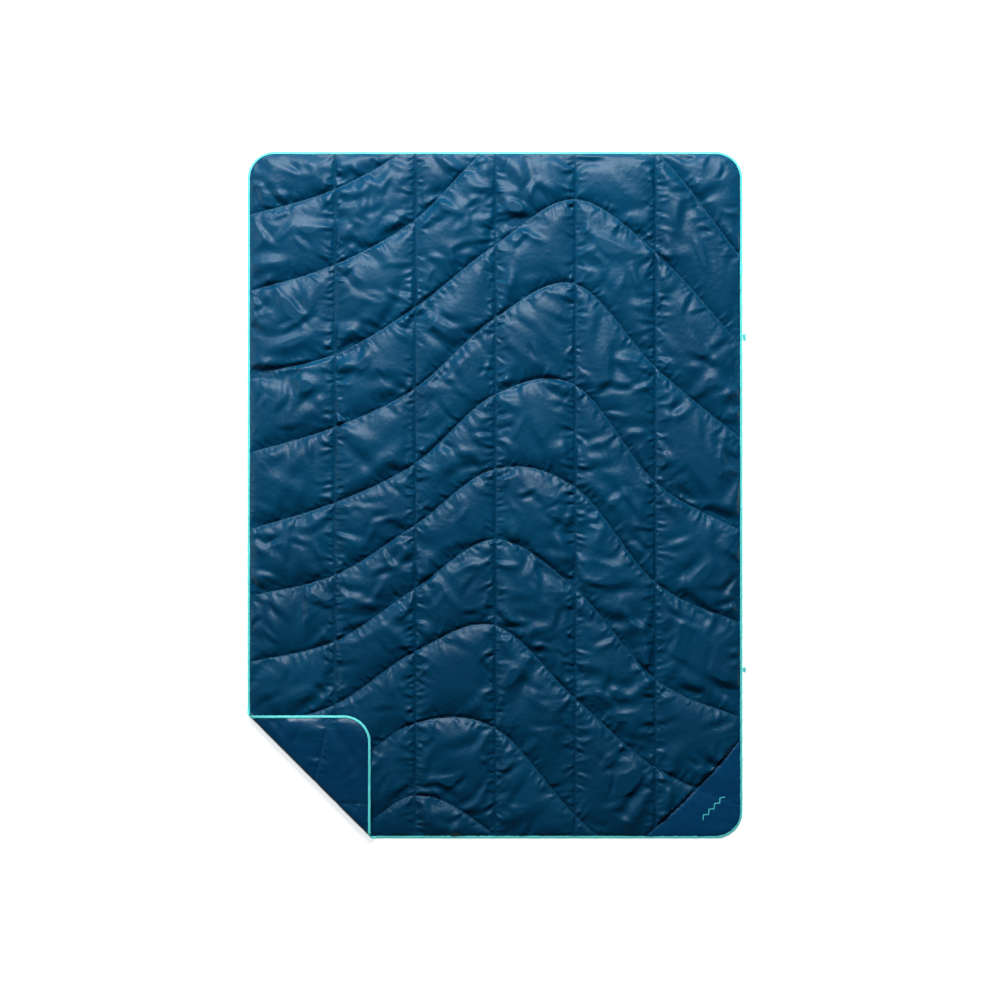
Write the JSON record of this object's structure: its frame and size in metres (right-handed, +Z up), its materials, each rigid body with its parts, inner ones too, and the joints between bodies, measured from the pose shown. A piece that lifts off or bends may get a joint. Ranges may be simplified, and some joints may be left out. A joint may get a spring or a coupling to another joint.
{
  "type": "camp blanket",
  "caption": "Quilted insulated blanket with bound edges, channel and wave seams, a turned-over corner, a corner patch and two small clip tabs.",
  "frame": {"origin": "middle of the blanket seen from above, clips included, on the surface it lies on", "axes": "+Y towards the head end, along the length; +X towards the edge with the two tabs; +Z up from the surface"},
  "size_m": [1.379, 1.9, 0.0323],
  "materials": {
    "face_nylon": "thin glossy woven nylon, downproof",
    "back_nylon": "thin woven nylon, calendered",
    "fill_fibre": "synthetic fibre fill",
    "binding_tape": "folded grosgrain tape",
    "thread": "polyester thread",
    "patch_nylon": "smooth woven nylon",
    "print_ink": "screen print",
    "tab_webbing": "woven webbing",
    "clip_plastic": "moulded, satin"
  },
  "bodies": {
    "corner": {"back_cloth_corner": "back_nylon", "binding_corner": "binding_tape", "face_cloth_corner": "face_nylon", "fill_corner_inner": "fill_fibre", "fill_corner_outer": "fill_fibre", "wave_stitch_h_corner": "thread", "wave_stitch_i_corner": "thread", "wave_stitch_j_corner": "thread"},
    "left": {"back_cloth_left": "back_nylon", "binding_foot": "binding_tape", "binding_left": "binding_tape", "channel_stitch_1_left": "thread", "channel_stitch_2_left": "thread", "channel_stitch_3_left": "thread", "face_cloth_left": "face_nylon", "fill_channel_1": "fill_fibre", "fill_channel_2": "fill_fibre", "fill_channel_3": "fill_fibre", "wave_stitch_a_left": "thread", "wave_stitch_b_left": "thread", "wave_stitch_c_left": "thread", "wave_stitch_d_left": "thread", "wave_stitch_e_left": "thread", "wave_stitch_f_left": "thread", "wave_stitch_g_left": "thread", "wave_stitch_h_left": "thread", "wave_stitch_i_left": "thread", "wave_stitch_j_left": "thread"},
    "right": {"back_cloth_right": "back_nylon", "binding_right": "binding_tape", "channel_stitch_3_right": "thread", "channel_stitch_4_right": "thread", "channel_stitch_5_right": "thread", "corner_patch": "patch_nylon", "face_cloth_right": "face_nylon", "fill_channel_4": "fill_fibre", "fill_channel_5": "fill_fibre", "fill_channel_6": "fill_fibre", "patch_motif": "print_ink", "patch_stitch_inner": "thread", "patch_stitch_outer": "thread", "wave_stitch_b_right": "thread", "wave_stitch_c_right": "thread", "wave_stitch_d_right": "thread", "wave_stitch_e_right": "thread", "wave_stitch_f_right": "thread", "wave_stitch_g_right": "thread", "wave_stitch_h_right": "thread", "wave_stitch_i_right": "thread"},
    "lower_tab": {"lower_clip_half": "clip_plastic", "lower_tab_webbing": "tab_webbing"},
    "upper_tab": {"upper_clip_half": "clip_plastic", "upper_tab_webbing": "tab_webbing"}
  },
  "joints": [
    {"name": "corner_fold", "type": "hinge", "parent": "left", "child": "corner", "pos_m": [-0.517, -0.7775, 0.01615], "axis": [0.7071, -0.7071, 0], "range_deg": [0, 179.5]},
    {"name": "half_fold", "type": "hinge", "parent": "left", "child": "right", "pos_m": [-0.0045, 0, 0.02635], "axis": [0, -1, 0], "range_deg": [0, 179.5]},
    {"name": "upper_tab_flip", "type": "hinge", "parent": "right", "child": "upper_tab", "pos_m": [0.6815, 0.436, 0.001], "axis": [0, -1, 0], "range_deg": [-90, 90]},
    {"name": "lower_tab_flip", "type": "hinge", "parent": "right", "child": "lower_tab", "pos_m": [0.6815, -0.483, 0.001], "axis": [0, -1, 0], "range_deg": [-90, 90]}
  ]
}
